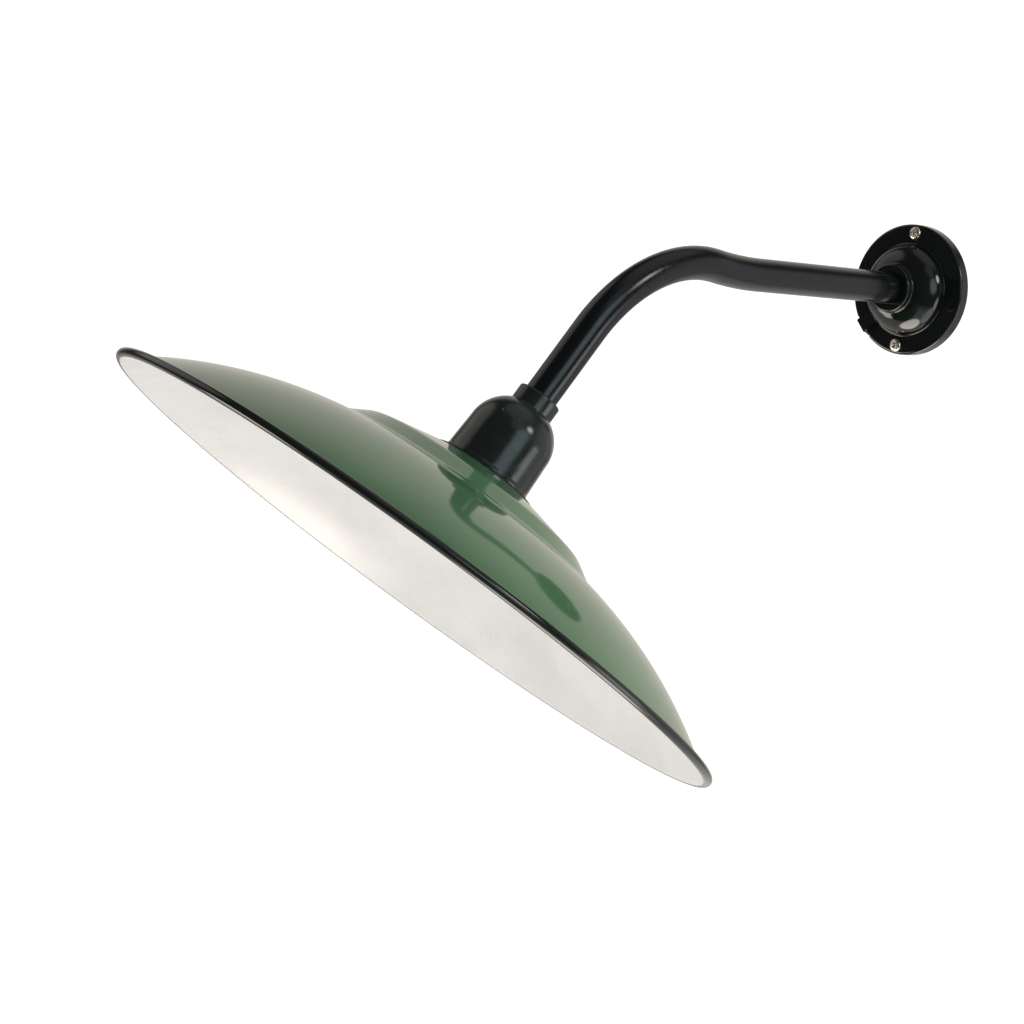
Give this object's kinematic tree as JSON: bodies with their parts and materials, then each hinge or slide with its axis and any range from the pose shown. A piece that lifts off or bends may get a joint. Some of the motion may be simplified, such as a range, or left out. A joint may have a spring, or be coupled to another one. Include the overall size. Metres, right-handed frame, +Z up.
{
  "type": "gooseneck wall sconce",
  "caption": "Wall sconce with a wide shallow enamelled shade on a bent tube arm, a bell-shaped lampholder cover and a round wall flange.",
  "frame": {"origin": "centre of the wall flange on the wall's face", "axes": "+Y into the wall, +Z up, the arm stands out along -Y in the plane X = 0"},
  "size_m": [0.3865, 0.527, 0.3186],
  "materials": {
    "green_enamel": "glossy vitreous enamel on steel sheet, green outside and white inside",
    "black_casting": "glossy black paint over an iron casting",
    "green_black_casting": "glossy green-black paint over an iron casting",
    "black_tube": "satin-gloss black paint on steel tube",
    "nickel": "nickel-plated steel",
    "zinc_steel": "zinc-plated steel",
    "dark_steel": "blackened steel",
    "brass": "bright brass",
    "bronze": "phosphor bronze",
    "porcelain": "white glazed porcelain",
    "black_rubber": "black moulded gasket rubber",
    "white_nylon": "natural white nylon",
    "lead_black": "black insulated stranded wire",
    "lead_white": "white insulated stranded wire",
    "clear_glass": "clear blown glass",
    "black_glass": "black glass insulator",
    "solder": "tinned solder",
    "tungsten": "tungsten and nickel wire"
  },
  "bodies": {
    "fixture": {"wall_flange": "black_casting", "flange_screws": "nickel", "arm_pipe": "black_tube", "holder_cover": "green_black_casting", "seat_gasket": "black_rubber", "shade": "green_enamel", "mounting_plate": "zinc_steel", "pipe_lock_nut": "zinc_steel", "pipe_bush_wall": "white_nylon", "pipe_bush_head": "white_nylon", "terminal_block": "white_nylon", "block_tubes": "brass", "block_screws": "zinc_steel", "block_fixing_screw": "zinc_steel", "lead_live": "lead_black", "lead_neutral": "lead_white", "rim_wire": "dark_steel", "clamp_ring": "zinc_steel", "clamp_screws": "nickel", "collar_grub_screw": "dark_steel", "lampholder_body": "porcelain", "screw_shell": "brass", "centre_terminal": "brass", "shell_terminal": "brass", "terminal_screws": "brass"},
    "contact": {"contact_plunger": "brass", "contact_spring": "bronze"},
    "bulb_travel": {"bulb_tip": "solder"},
    "bulb": {"bulb_cap": "nickel", "bulb_insulator": "black_glass", "bulb_glass": "clear_glass", "bulb_stem": "clear_glass", "bulb_leads": "tungsten", "filament": "tungsten"}
  },
  "joints": [
    {"name": "contact_press", "type": "slide", "parent": "fixture", "child": "contact", "axis": [0, 0.5075, 0.8616], "range_m": [0, 0.0008], "stiffness_N_per_m": 1500},
    {"name": "bulb_run_out", "type": "slide", "parent": "fixture", "child": "bulb_travel", "axis": [0, -0.5075, -0.8616], "range_m": [0, 0.0128]},
    {"name": "bulb_unscrew", "type": "hinge", "parent": "bulb_travel", "child": "bulb", "pos_m": [0, -0.32666, -0.12241], "axis": [0, -0.5075, -0.8616], "range_deg": [0, 1260]}
  ],
  "couplings": [
    {"joint": "bulb_run_out", "follows": "bulb_unscrew", "m_per_rad": 0.00057757}
  ]
}
